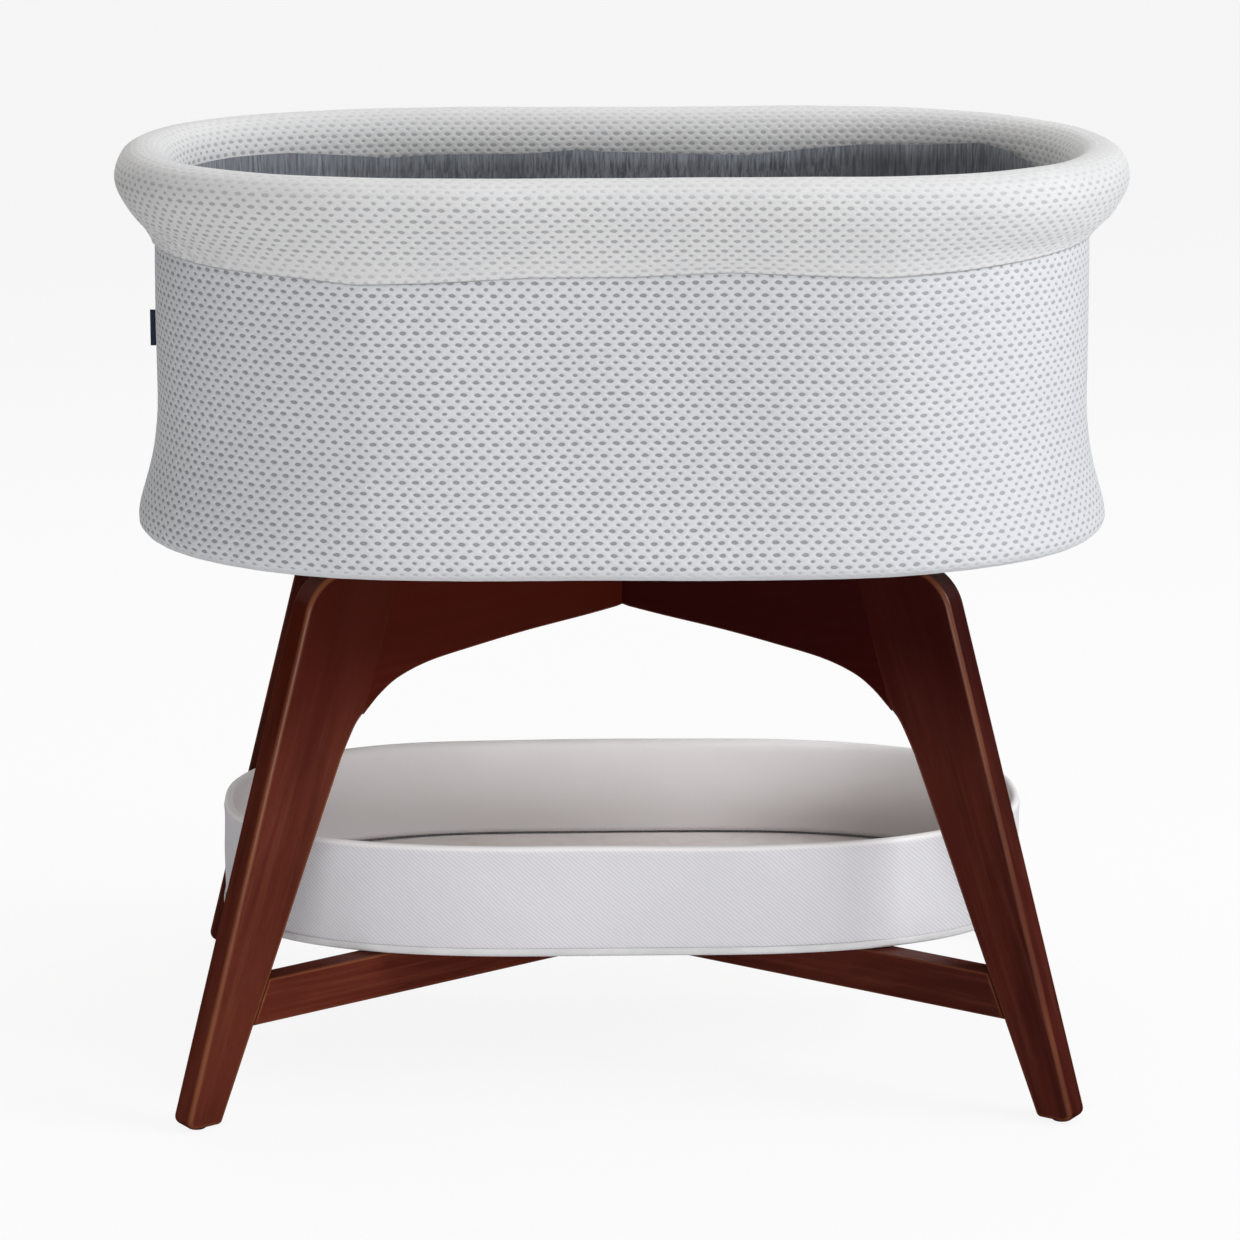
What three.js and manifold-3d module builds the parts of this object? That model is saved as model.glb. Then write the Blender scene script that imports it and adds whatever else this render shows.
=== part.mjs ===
// Bassinet on a crossed wooden stand. Millimetres, +Z up, long side along X, front towards -Y.
import * as THREE from 'three';
import { mergeVertices } from 'three/addons/utils/BufferGeometryUtils.js';
import Module from 'manifold-3d';

const wasm = await Module();
wasm.setup();
const { Manifold, Mesh: ManifoldMesh } = wasm;

// ---- driving sizes -------------------------------------------------------------------------
const gap = 0.3;                                   // clearance left between pieces that touch
const stand = {
  angle: THREE.MathUtils.degToRad(34.8),           // each diagonal frame's angle from the X axis
  thick: 28, bevel: 4.5, top: 492, foot: 2.2,
  footOuter: 492, outerSlope: 0.297,               // outer edge r = footOuter - outerSlope * z
  footInner: 455, innerSlope: 0.42,                // inner edge r = footInner - innerSlope * z
  footRound: 8, shoulder: 45,
  joint: [[300, 357], [256, 492]],                 // glue line between leg and arm
};
const rail = { thick: 24, low: 87, high: 128, bevel: 2.5, tenon: 22, tenonThick: 12 };
const basin = { straight: 120, a: 426.3, b: 238, power: 2.3, count: 52 };
const bin = { straight: 70, a: 373, b: 186, power: 2.4, count: 44 };
const panFloor = stand.top + 0.4;
const panTop = panFloor + 4;
const deck = { low: 578, high: 586, inset: -28 };
const pad = { low: deck.high + gap, high: 628, inset: -29.5 };
const drive = { axis: 532, throw: 5, pin: 3, rodTop: 560 };
const posts = { x: 232, r: 6, offset: -9, low: 503.4, top: 804.4 };
const rimTube = { offset: -4, z: 815, r: 10 };
const basketFloor = rail.high + 0.6;

// ---- finishes ------------------------------------------------------------------------------
const finish = (color, roughness, metalness = 0) =>
  new THREE.MeshStandardMaterial({ color, roughness, metalness });
const wood = finish('#54241a', 0.35);
const mesh = finish('#d9d9dc', 0.9);
const liner = finish('#74777d', 0.95);
const canvas = finish('#d2d0d6', 0.9);
const foam = finish('#e6e2d6', 0.95);
const white = finish('#eceae4', 0.8);
const steel = finish('#9a9da1', 0.35, 1);
const black = finish('#1d1d1f', 0.6);
const navy = finish('#1f2740', 0.85);
const board = finish('#a98f6c', 0.7);

const group = new THREE.Group();
group.name = 'bassinet_on_stand';

// ---- closed bodies -------------------------------------------------------------------------
function signedVolume(geometry) {
  const p = geometry.attributes.position, index = geometry.index.array;
  const a = new THREE.Vector3(), b = new THREE.Vector3(), c = new THREE.Vector3();
  let sum = 0;
  for (let i = 0; i < index.length; i += 3) {
    a.fromBufferAttribute(p, index[i]);
    b.fromBufferAttribute(p, index[i + 1]);
    c.fromBufferAttribute(p, index[i + 2]);
    sum += a.dot(b.cross(c)) / 6;
  }
  return sum;
}

function faced(points, index) {
  const geometry = new THREE.BufferGeometry();
  geometry.setAttribute('position', new THREE.Float32BufferAttribute(points, 3));
  geometry.setIndex(index);
  if (signedVolume(geometry) < 0) {
    for (let i = 0; i < index.length; i += 3) [index[i], index[i + 1]] = [index[i + 1], index[i]];
    geometry.setIndex(index);
  }
  return geometry;
}

// Plan outline moved outwards by off: two superellipse ends joined by straight sides.
function outline(plan, off) {
  const ring = [];
  const quarter = plan.count / 4;
  for (let i = 0; i < plan.count; i++) {
    const t = (i % quarter + 0.5) / quarter * Math.PI / 2 + Math.floor(i / quarter) * Math.PI / 2;
    const c = Math.cos(t), s = Math.sin(t), e = 2 / plan.power;
    ring.push([
      Math.sign(c) * (plan.straight + (plan.a - plan.straight + off) * Math.abs(c) ** e),
      Math.sign(s) * (plan.b + off) * Math.abs(s) ** e,
    ]);
  }
  return ring;
}

function rows(plan, profile) {
  return profile.flatMap(([off, z]) => outline(plan, off).flatMap(([x, y]) => [x, y, z]));
}

function quads(index, n, from, to) {
  for (let i = 0; i < n; i++) {
    const j = (i + 1) % n;
    index.push(from * n + i, from * n + j, to * n + j, from * n + i, to * n + j, to * n + i);
  }
}

// Profile closed on itself, carried round the plan: a ring-shaped body.
function band(plan, profile) {
  const index = [];
  profile.forEach((_, k) => quads(index, plan.count, k, (k + 1) % profile.length));
  return faced(rows(plan, profile), index);
}

// Open profile carried round the plan and closed by a flat fan at each end: trays and boards.
function tray(plan, profile) {
  const n = plan.count, points = rows(plan, profile), index = [];
  for (let k = 0; k < profile.length - 1; k++) quads(index, n, k, k + 1);
  const low = points.length / 3, high = low + 1, last = (profile.length - 1) * n;
  points.push(0, 0, profile[0][1], 0, 0, profile[profile.length - 1][1]);
  for (let i = 0; i < n; i++) {
    const j = (i + 1) % n;
    index.push(low, j, i, high, last + i, last + j);
  }
  return faced(points, index);
}

// Skin of thickness t laid inside an open line of [offset, z] points that runs bottom to top.
function skin(line, t) {
  const inside = line.map((p, k) => {
    const a = line[Math.max(k - 1, 0)], b = line[Math.min(k + 1, line.length - 1)];
    const d = Math.hypot(b[0] - a[0], b[1] - a[1]);
    return [p[0] - t * (b[1] - a[1]) / d, p[1] + t * (b[0] - a[0]) / d];
  });
  return [...line, ...inside.reverse()];
}

function circle(x, y, r, n) {
  return Array.from({ length: n }, (_, k) => {
    const t = 2 * Math.PI * (k + 0.5) / n;
    return [x + r * Math.cos(t), y + r * Math.sin(t)];
  });
}

function rod(r, length, n = 16) {
  return new THREE.CylinderGeometry(r, r, length, n).rotateX(Math.PI / 2);
}

function upright(r, z0, z1, x, y, n = 16) {
  return rod(r, z1 - z0, n).translate(x, y, (z0 + z1) / 2);
}

function along(r, y0, y1, x, z, n = 20) {
  return new THREE.CylinderGeometry(r, r, y1 - y0, n).translate(x, (y0 + y1) / 2, z);
}

function block(x0, x1, y0, y1, z0, z1) {
  return new THREE.BoxGeometry(x1 - x0, y1 - y0, z1 - z0)
    .translate((x0 + x1) / 2, (y0 + y1) / 2, (z0 + z1) / 2);
}

function turned(profile, x, y, n = 18) {
  const points = profile.map(([r, z]) => new THREE.Vector2(r, z));
  return new THREE.LatheGeometry(points, n).rotateX(Math.PI / 2).translate(x, y, 0);
}

// ---- booleans ------------------------------------------------------------------------------
function solid(geometry) {
  const bare = new THREE.BufferGeometry();
  bare.setAttribute('position', geometry.attributes.position);
  if (geometry.index) bare.setIndex(geometry.index);
  const merged = mergeVertices(bare, 1e-4);
  return new Manifold(new ManifoldMesh({
    numProp: 3,
    vertProperties: new Float32Array(merged.attributes.position.array),
    triVerts: new Uint32Array(merged.index.array),
  }));
}

function surface(manifold) {
  const m = manifold.getMesh();
  const geometry = new THREE.BufferGeometry();
  geometry.setAttribute('position', new THREE.BufferAttribute(m.vertProperties, 3));
  geometry.setIndex(new THREE.BufferAttribute(m.triVerts, 1));
  return geometry;
}

const cut = (body, ...tools) => tools.reduce((b, t) => b.subtract(solid(t)), body);
const join = (body, ...more) => more.reduce((b, t) => b.add(solid(t)), body);

function add(name, geometry, material) {
  const geo = geometry instanceof Manifold ? surface(geometry) : geometry;
  const piece = new THREE.Mesh(geo, material);
  piece.name = name;
  group.add(piece);
}

// ---- stand ---------------------------------------------------------------------------------
const innerEdge = (z) => stand.footInner - stand.innerSlope * z;
const outerEdge = (z) => stand.footOuter - stand.outerSlope * z;

function rounded(corner, before, after, r, n) {
  const c = new THREE.Vector2(...corner);
  const u = new THREE.Vector2(...before).sub(c).normalize();
  const v = new THREE.Vector2(...after).sub(c).normalize();
  const half = Math.acos(u.dot(v)) / 2, reach = r / Math.tan(half);
  const from = c.clone().addScaledVector(u, reach), to = c.clone().addScaledVector(v, reach);
  const curve = new THREE.QuadraticBezierCurve(from, c.clone().lerp(from.clone().lerp(to, 0.5), 0.12), to);
  return curve.getPoints(n).map((p) => [p.x, p.y]);
}

// Right half of one diagonal frame's outline in (r, z), from the crotch round the foot to the top.
function halfFrame() {
  const under = [[0, 417.5], [50, 413], [118, 408], [175, 402], [225, 395.5], [258, 386],
    [277, 375], [291, 363], [303, 351], [311, 338], [innerEdge(318), 318]];
  const curve = new THREE.SplineCurve(under.map(([r, z]) => new THREE.Vector2(r, z)));
  const inner = [innerEdge(stand.foot), stand.foot], outer = [outerEdge(stand.foot), stand.foot];
  const shoulder = [outerEdge(stand.top), stand.top];
  return [
    ...curve.getPoints(16).map((p) => [p.x, p.y]),
    ...rounded(inner, [innerEdge(60), 60], outer, stand.footRound * 0.7, 3),
    ...rounded(outer, inner, [outerEdge(60), 60], stand.footRound, 4),
    ...rounded(shoulder, outer, [0, stand.top], stand.shoulder, 6),
  ];
}

function slab(points, thick, bevel, angle, segments = 2) {
  const shape = new THREE.Shape(points.map(([r, z]) => new THREE.Vector2(r, z)));
  const geometry = new THREE.ExtrudeGeometry(shape, {
    depth: thick - 2 * bevel, bevelEnabled: bevel > 0, bevelThickness: bevel,
    bevelSize: bevel, bevelOffset: -bevel, bevelSegments: segments,
  });
  return geometry.translate(0, 0, -(thick - 2 * bevel) / 2).rotateX(Math.PI / 2).rotateZ(angle);
}

function beam(angle, length, width, z0, z1) {
  return new THREE.BoxGeometry(length, width, z1 - z0).translate(0, 0, (z0 + z1) / 2).rotateZ(angle);
}

// Half-plane to one side of the glue line, as a big slab used to split a frame.
function side(sign, angle, inwards) {
  const [a, b] = stand.joint.map(([r, z]) => new THREE.Vector2(r, z));
  const d = b.clone().sub(a).normalize();
  const n = new THREE.Vector2(d.y, -d.x);                     // points to the leg's side
  const shift = (inwards ? -1 : 1) * gap / 2;
  const p = a.clone().addScaledVector(d, -900).addScaledVector(n, shift);
  const q = b.clone().addScaledVector(d, 900).addScaledVector(n, shift);
  const reach = (inwards ? -1 : 1) * 1600;
  const poly = [p, q, q.clone().addScaledVector(n, reach), p.clone().addScaledVector(n, reach)];
  const points = poly.map((v) => [v.x * sign, v.y]);
  if (THREE.ShapeUtils.area(points.map(([x, y]) => ({ x, y }))) < 0) points.reverse();
  return solid(slab(points, 80, 0, angle));
}

// The knee: the splitting slab may only act near the joint, so the leg's lower part stays whole.
function legZone(sign, angle) {
  const below = [[230, -20], [560, -20], [560, 357 - 8], [298, 357 - 8], [230, 357 - 8]];
  const points = below.map(([r, z]) => [r * sign, z]);
  if (sign < 0) points.reverse();
  return solid(slab(points, 80, 0, angle));
}

const jointMiddle = [(stand.joint[0][0] + stand.joint[1][0]) / 2 + 3, 420];

function dowel(sign, angle, r, length) {
  const [a, b] = stand.joint;
  const tilt = Math.atan2(b[1] - a[1], b[0] - a[0]) - Math.PI / 2;
  return new THREE.CylinderGeometry(r, r, length, 14)
    .rotateZ(-Math.PI / 2 + tilt).translate(jointMiddle[0], jointMiddle[1], 0)
    .applyMatrix4(new THREE.Matrix4().makeRotationY(sign > 0 ? 0 : Math.PI))
    .rotateX(Math.PI / 2).rotateZ(angle);
}

function mortise(sign, angle, grow) {
  const z0 = rail.low + 9 - grow, z1 = rail.high - 9 + grow, zm = (z0 + z1) / 2;
  const r0 = innerEdge(zm) - 30, r1 = innerEdge(zm) + rail.tenon + grow;
  return new THREE.BoxGeometry(r1 - r0, rail.tenonThick + 2 * grow, z1 - z0)
    .translate(sign * (r0 + r1) / 2, 0, zm).rotateZ(angle);
}

const diagonals = [
  { key: 'a', angle: stand.angle, legs: [['leg_front_left', -1], ['leg_back_right', 1]] },
  { key: 'b', angle: -stand.angle, legs: [['leg_front_right', 1], ['leg_back_left', -1]] },
];
const spot = (r, angle) => [r * Math.cos(angle), r * Math.sin(angle)];
const footR = (stand.footInner + stand.footOuter) / 2 - 1;
const bolts = diagonals.flatMap(({ angle }) => [-200, 200].map((r) => spot(r, angle)));
const middleTop = (417 + stand.top) / 2 + 3, middleLow = (rail.low + rail.high) / 2;

function buildDiagonal({ key, angle, legs }) {
  const half = halfFrame();
  const mirrored = half.slice(1).reverse().map(([r, z]) => [-r, z]);
  const whole = solid(slab([...half, ...mirrored], stand.thick, stand.bevel, angle));
  const other = -angle;
  let arm = whole.intersect(side(1, angle, true)).intersect(side(-1, angle, true))
    .subtract(legZone(1, angle)).subtract(legZone(-1, angle));
  for (const [name, sign] of legs) {
    const [x, y] = spot(sign * footR, angle);
    let leg = whole.intersect(side(sign, angle, false).add(legZone(sign, angle)));
    leg = cut(leg, mortise(sign, angle, gap), dowel(sign, angle, 5.3, 50),
      upright(1.8, -1, 15, x, y, 10));
    add(name, leg, wood);
    arm = cut(arm, dowel(sign, angle, 5.3, 50));
  }
  const lap = key === 'a' ? [middleTop - gap / 2, 600] : [300, middleTop + gap / 2];
  arm = cut(arm, beam(other, 160, stand.thick + 2 * gap, ...lap));
  arm = cut(arm, ...bolts.map(([x, y]) => upright(3.4, 462, 520, x, y, 12)));
  arm = cut(arm, upright(4.4, 428, 520, 0, 0, 14), upright(8.6, 484, 520, 0, 0, 14));
  add(`top_rail_${key}`, arm, wood);
}

function buildLowerRail({ key, angle }) {
  const e0 = innerEdge(rail.low) - gap, e1 = innerEdge(rail.high) - gap;
  const shape = [[-e0, rail.low], [e0, rail.low], [e1, rail.high], [-e1, rail.high]];
  let body = solid(slab(shape, rail.thick, rail.bevel, angle, 1));
  for (const sign of [-1, 1]) body = join(body, mortise(sign, angle, 0));
  const lap = key === 'a' ? [middleLow - gap / 2, 200] : [60, middleLow + gap / 2];
  body = cut(body, beam(-angle, 140, rail.thick + 2 * gap, ...lap));
  body = cut(body, upright(3.4, 92, 200, 0, 0, 12), upright(6.6, 123, 200, 0, 0, 14));
  add(`lower_rail_${key}`, body, wood);
}

function buildStand() {
  diagonals.forEach(buildDiagonal);
  diagonals.forEach(buildLowerRail);
  for (const { angle, legs } of diagonals) {
    for (const [name, sign] of legs) {
      const corner = name.replace('leg_', '');
      const [x, y] = spot(sign * footR, angle);
      add(`knee_dowel_${corner}`, dowel(sign, angle, 5, 47), board);
      add(`foot_glide_${corner}`,
        turned([[0, 0], [8, 0], [8.6, 0.6], [8.6, 1.9], [1.5, 1.9], [1.5, 13], [0, 13]], x, y, 16), black);
    }
  }
  const screw = (r, head, low, neck, high) => [[0, low], [r, low], [r, neck], [head, neck], [head, high], [0, high]];
  add('top_lap_screw', turned(screw(4, 8, 430, 484.4, 490.5), 0, 0), steel);
  add('lower_lap_screw', turned(screw(3, 6, 94, 123.4, 127.4), 0, 0), steel);
  bolts.forEach(([x, y], k) =>
    add(`basin_bolt_${k + 1}`, turned(screw(3, 6, 464, panTop + gap, panTop + 4.3), x, y, 12), steel));
}

// ---- basin ---------------------------------------------------------------------------------
const wallLine = [[-3, 495.4], [6, 494.6], [13, 496.4], [17.6, 500.6], [19.4, 508.5], [17.4, 521],
  [8.8, 553], [2.8, 587], [0.4, 620], [0, 752]];
const panLine = [[-44, panFloor], [-13, 493.2], [-8, 497.6], [2, 498.6], [9, 500.8], [13.4, 506],
  [14, 514], [11, 514], [10.6, 507.8], [6.4, 504.4], [0, 502.7], [-10, 501.8], [-16, 497.4],
  [-44, panTop]];
const rimLine = [[-1.2, 753.2], [9.7, 775], [22.7, 793], [31.5, 808.5], [33.7, 820], [28.6, 838],
  [17, 846], [4, 848], [-9, 845.3], [-19.5, 836], [-25, 821], [-24, 804], [-21.8, 795]];
const foamProfile = [[-1.6, 791.5], [15, 793.5], [26, 808], [29.6, 820], [25, 834.5], [14, 842],
  [2, 844], [-9, 841], [-18, 831.5], [-21.8, 819], [-20.8, 805], [-18, 797.5], [-16.4, 797.5],
  [-16.4, 812], [-12, 823], [-4, 826.2], [4, 823], [7.4, 815], [4, 807], [-1.6, 804]];

function buildBasin() {
  const floor = tray(basin, panLine);
  const holes = bolts.map(([x, y]) => upright(3.4, 480, 520, x, y, 12));
  add('base_pan', cut(solid(floor), ...holes), white);
  add('outer_wall_cover', band(basin, skin(wallLine, 1.6)), mesh);
  add('rim_cover', band(basin, skin(rimLine, 1.6)), mesh);
  add('rim_foam', band(basin, foamProfile), foam);
  add('rim_tube', band(basin, circle(rimTube.offset, rimTube.z, rimTube.r, 8)), steel);
  add('inner_mesh_wall', band(basin, skin([[-21, 600], [-21, 794]], 1.4)), mesh);
  add('well_liner', band(basin, skin([[-23.2, 596], [-23.2, 786], [-26.2, 800], [-26.8, 813]], 2)), liner);
  const e = basin.power, reach = basin.a - basin.straight + posts.offset;
  const py = (basin.b + posts.offset) * (1 - ((posts.x - basin.straight) / reach) ** e) ** (1 / e);
  for (const [sx, xn] of [[-1, 'left'], [1, 'right']]) {
    for (const [sy, yn] of [[-1, 'front'], [1, 'back']]) {
      add(`wall_post_${yn}_${xn}`, upright(posts.r, posts.low, posts.top, sx * posts.x, sy * py, 14), steel);
    }
  }
  add('label_tag', block(-431.9, -426.6, -8.6, -7.4, 663, 695), navy);
}

// ---- drive under the mattress --------------------------------------------------------------
class Helix extends THREE.Curve {
  constructor(r, height, turns) { super(); Object.assign(this, { r, height, turns }); }
  getPoint(t, target = new THREE.Vector3()) {
    const a = 2 * Math.PI * this.turns * t;
    return target.set(this.r * Math.cos(a), this.r * Math.sin(a), this.height * t);
  }
}

function spring(x, y) {
  const wire = new THREE.Shape(circle(0, 0, 1.5, 5).map(([u, v]) => new THREE.Vector2(u, v)));
  const z0 = panTop + 2.2, z1 = deck.low - 2.2, turns = 4.5;
  return new THREE.ExtrudeGeometry(wire, { steps: 45, extrudePath: new Helix(11, z1 - z0, turns) })
    .translate(x, y, z0);
}

function buildDrive() {
  const low = panTop + gap;
  let box = solid(block(-28, 28, 14, 74, low, 560));
  box = cut(box, along(4.06, 10, 28, 0, drive.axis));
  add('gear_housing', box, black);
  let crank = solid(along(15, 6, 11, 0, drive.axis, 24));
  crank = join(crank, along(4, 10.5, 26, 0, drive.axis), along(drive.pin, -4, 6.5, drive.throw, drive.axis));
  add('crank', crank, steel);
  let link = solid(block(drive.throw - 5, drive.throw + 5, -3.5, 3.5, drive.axis, drive.rodTop));
  link = join(link, along(8, -3.5, 3.5, drive.throw, drive.axis, 24), along(7, -3.5, 3.5, drive.throw, drive.rodTop, 24),
    along(3, -12, 0, drive.throw, drive.rodTop));
  link = cut(link, along(3.08, -8, 8, drive.throw, drive.axis));
  add('lift_link', link, white);
  const yoke = cut(solid(block(-20, 20, -10, -5, 540, deck.low - gap)),
    block(-10, 10, -14, 0, drive.rodTop - 14.6, drive.rodTop + 14.6));
  add('deck_yoke', yoke, steel);
  for (const [s, name] of [[-1, 'left'], [1, 'right']]) {
    const tube = cut(solid(upright(9, low, 552, s * 140, 0, 20)), upright(6.1, low - 5, 560, s * 140, 0, 20));
    add(`guide_tube_${name}`, tube, white);
    add(`guide_pin_${name}`, upright(6, 515, deck.low - gap, s * 140, 0, 20), steel);
  }
  for (const [sx, xn] of [[-1, 'left'], [1, 'right']]) {
    for (const [sy, yn] of [[-1, 'front'], [1, 'back']]) {
      add(`deck_spring_${yn}_${xn}`, spring(sx * 250, sy * 105), steel);
    }
  }
  add('control_box', block(170, 240, -45, 45, low, 524), black);
  add('speaker', turned([[0, low], [24, low], [24, low + 8], [30, low + 14], [30, low + 18], [0, low + 18]], -205, 0, 24), black);
  const inlet = cut(solid(block(-16, 16, 150, 178, 478, panFloor - gap)), along(4, 168, 190, 0, 485, 14));
  add('power_inlet', inlet, black);
}

function buildBed() {
  add('deck', tray(basin, [[deck.inset, deck.low], [deck.inset, deck.high]]), board);
  const i = pad.inset;
  add('mattress', tray(basin, [[i - 6, pad.low], [i - 1, pad.low + 3], [i, pad.low + 8],
    [i, pad.high - 9], [i - 2, pad.high - 3], [i - 8, pad.high]]), white);
}

// ---- basket --------------------------------------------------------------------------------
function buildBasket() {
  const f = basketFloor;
  add('basket_shell', tray(bin, [[-5, f], [-0.5, f + 3], [0, f + 8], [0, 230], [-3, 230], [-3, f + 8],
    [-5, f + 3]]), canvas);
  add('basket_board', tray(bin, [[-6.5, f + 3.3], [-6.5, f + 6.3]]), board);
  add('basket_hem', band(bin, [[0.3, 216], [1.9, 216], [1.9, 233], [-8.4, 233], [-8.4, 216], [-6.9, 216],
    [-6.9, 231.4], [0.3, 231.4]]), canvas);
  add('basket_wire', band(bin, circle(-5, 226, 1.5, 6)), steel);
  add('basket_binding', band(bin, [[0.4, f + 2.6], [2, f + 2.8], [2, f + 9], [0.4, f + 9]]), white);
}

buildStand();
buildBasin();
buildDrive();
buildBed();
buildBasket();

export default group;
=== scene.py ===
import math
import bmesh
import bpy
import numpy as np
from mathutils import Matrix, Vector


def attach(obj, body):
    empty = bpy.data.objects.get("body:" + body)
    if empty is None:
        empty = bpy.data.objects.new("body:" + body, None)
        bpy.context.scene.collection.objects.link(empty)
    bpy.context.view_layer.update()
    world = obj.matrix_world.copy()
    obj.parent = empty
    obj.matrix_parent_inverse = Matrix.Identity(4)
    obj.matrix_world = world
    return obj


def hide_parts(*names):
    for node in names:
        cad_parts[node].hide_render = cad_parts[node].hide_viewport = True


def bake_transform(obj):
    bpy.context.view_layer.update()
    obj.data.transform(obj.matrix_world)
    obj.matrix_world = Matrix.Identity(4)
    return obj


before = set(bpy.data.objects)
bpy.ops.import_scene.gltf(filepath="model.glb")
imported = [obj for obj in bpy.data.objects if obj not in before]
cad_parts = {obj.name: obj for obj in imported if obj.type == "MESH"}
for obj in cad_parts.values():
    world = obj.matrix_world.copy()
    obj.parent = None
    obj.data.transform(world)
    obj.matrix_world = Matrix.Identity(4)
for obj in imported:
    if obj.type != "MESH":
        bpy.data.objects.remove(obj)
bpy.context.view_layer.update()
mm = 0.001


# Superellipse outline with straight sides: evenly spaced points, and how each moves per unit of offset.
def planOutline(plan, count):
    t = np.linspace(0, 2 * np.pi, 14401)
    c, s = np.cos(t), np.sin(t)
    e = 2 / plan["power"]
    pushX = np.sign(c) * np.abs(c) ** e
    pushY = np.sign(s) * np.abs(s) ** e
    x = np.sign(c) * plan["straight"] * (np.abs(c) > 1e-9) + (plan["a"] - plan["straight"]) * pushX
    y = plan["b"] * pushY
    run = np.concatenate([[0], np.cumsum(np.hypot(np.diff(x), np.diff(y)))])
    even = np.arange(count) / count * run[-1]
    put = lambda v: np.interp(even, run, v)
    return put(x), put(y), put(pushX), put(pushY), run[-1]


# Points along a line of [offset, z] pairs, evenly spaced, rounded by a Catmull-Rom curve.
def smoothLine(points, count):
    p = np.array(points, float)
    p = np.vstack([2 * p[0] - p[1], p, 2 * p[-1] - p[-2]])
    u = np.linspace(0, len(p) - 3 - 1e-9, 40 * (len(p) - 3) + 1)
    k = u.astype(int)
    f = (u - k)[:, None]
    a, b, c, d = p[k], p[k + 1], p[k + 2], p[k + 3]
    dense = 0.5 * (2 * b + (c - a) * f + (2 * a - 5 * b + 4 * c - d) * f**2 + (3 * b - a - 3 * c + d) * f**3)
    run = np.concatenate([[0], np.cumsum(np.hypot(*np.diff(dense, axis=0).T))])
    even = np.linspace(0, run[-1], count)
    return np.stack([np.interp(even, run, dense[:, 0]), np.interp(even, run, dense[:, 1])], 1), even


# Inner copy of a line, moved sideways by a thickness along its normal.
def innerLine(line, thickness):
    d = np.gradient(line, axis=0)
    d /= np.linalg.norm(d, axis=1)[:, None]
    return line + thickness * np.stack([-d[:, 1], d[:, 0]], 1)


def smoothFaces(mesh):
    mesh.polygons.foreach_set("use_smooth", np.ones(len(mesh.polygons), bool))


def readPoints(mesh):
    points = np.zeros(len(mesh.vertices) * 3, np.float32)
    mesh.vertices.foreach_get("co", points)
    return points.reshape(-1, 3)


# Mesh over a grid of rows and columns. Columns always close; rows close, or end in flat fans.
def surfaceMesh(name, grid, cells=None, closeRows=True):
    rows, cols = grid.shape[:2]
    co = grid.reshape(-1, 3)
    pairs = rows if closeRows else rows - 1
    low = np.arange(pairs)
    high = (low + 1) % rows
    here = np.arange(cols)
    there = (here + 1) % cols
    quads = np.stack([low[:, None] * cols + here, low[:, None] * cols + there,
                      high[:, None] * cols + there, high[:, None] * cols + here], -1).reshape(-1, 4)
    fans = np.zeros((0, 3), int)
    if not closeRows:
        co = np.vstack([co, grid[0].mean(0), grid[-1].mean(0)])
        n = rows * cols
        last = (rows - 1) * cols
        fans = np.vstack([np.stack([there, here, np.full(cols, n)], 1),
                          np.stack([last + here, last + there, np.full(cols, n + 1)], 1)])
    tri = np.vstack([quads[:, :3], quads[:, [0, 2, 3]], fans])
    volume = np.einsum("ij,ij->i", co[tri[:, 0]], np.cross(co[tri[:, 1]], co[tri[:, 2]])).sum()
    if volume < 0:
        quads, fans = quads[:, ::-1], fans[:, ::-1]
    mesh = bpy.data.meshes.new(name)
    mesh.vertices.add(len(co))
    mesh.vertices.foreach_set("co", co.astype(np.float32).ravel())
    corners = np.concatenate([quads.ravel(), fans.ravel()]).astype(np.int32)
    mesh.loops.add(len(corners))
    mesh.loops.foreach_set("vertex_index", corners)
    starts = np.concatenate([np.arange(len(quads)) * 4, len(quads) * 4 + np.arange(len(fans)) * 3])
    mesh.polygons.add(len(starts))
    mesh.polygons.foreach_set("loop_start", starts.astype(np.int32))
    mesh.update(calc_edges=True)
    smoothFaces(mesh)
    if cells is not None:
        across, up = cells  # (cols + 1,) and (rows or rows + 1,) values
        q = np.stack([across[:-1], across[1:], across[1:], across[:-1]], -1)
        r = np.stack([up[:pairs], up[:pairs], up[1:pairs + 1], up[1:pairs + 1]], -1)
        uv = np.stack([np.broadcast_to(q[None], (pairs, cols, 4)), np.broadcast_to(r[:, None], (pairs, cols, 4))], -1)
        uv = uv.reshape(-1, 4, 2)
        if volume < 0:
            uv = uv[:, ::-1]
        flat = np.zeros((len(corners), 2))
        flat[: len(quads) * 4] = uv.reshape(-1, 2)
        mesh.uv_layers.new(name="UVMap").data.foreach_set("uv", flat.astype(np.float32).ravel())
    return mesh


# A piece with no body rides on nothing.
def addPiece(name, mesh, body, material, replaces=()):
    piece = bpy.data.objects.new(name, mesh)
    bpy.context.scene.collection.objects.link(piece)
    mesh.materials.clear()
    mesh.materials.append(material)
    if body:
        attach(piece, body)
    if replaces:
        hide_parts(*replaces)
    return piece


# Smooth wandering value in -1..1 for whole arrays, from a few fixed sine waves.
def wander(x, y, seed):
    rng = np.random.default_rng(seed)
    total = np.zeros(np.broadcast(x, y).shape)
    for k in range(7):
        fx, fy = rng.uniform(-1, 1, 2) * (1 + 0.6 * k)
        total = total + np.sin(2 * np.pi * (fx * x + fy * y) + rng.uniform(0, 6.28)) / (1 + 0.35 * k)
    return total / 3.2


def newMaterial(name, roughness, **values):
    material = bpy.data.materials.new(name)
    material.use_nodes = True
    shader = material.node_tree.nodes["Principled BSDF"]
    shader.inputs["Roughness"].default_value = roughness
    for key, value in values.items():
        shader.inputs[key.replace("_", " ")].default_value = value
    return material, material.node_tree, shader


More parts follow.
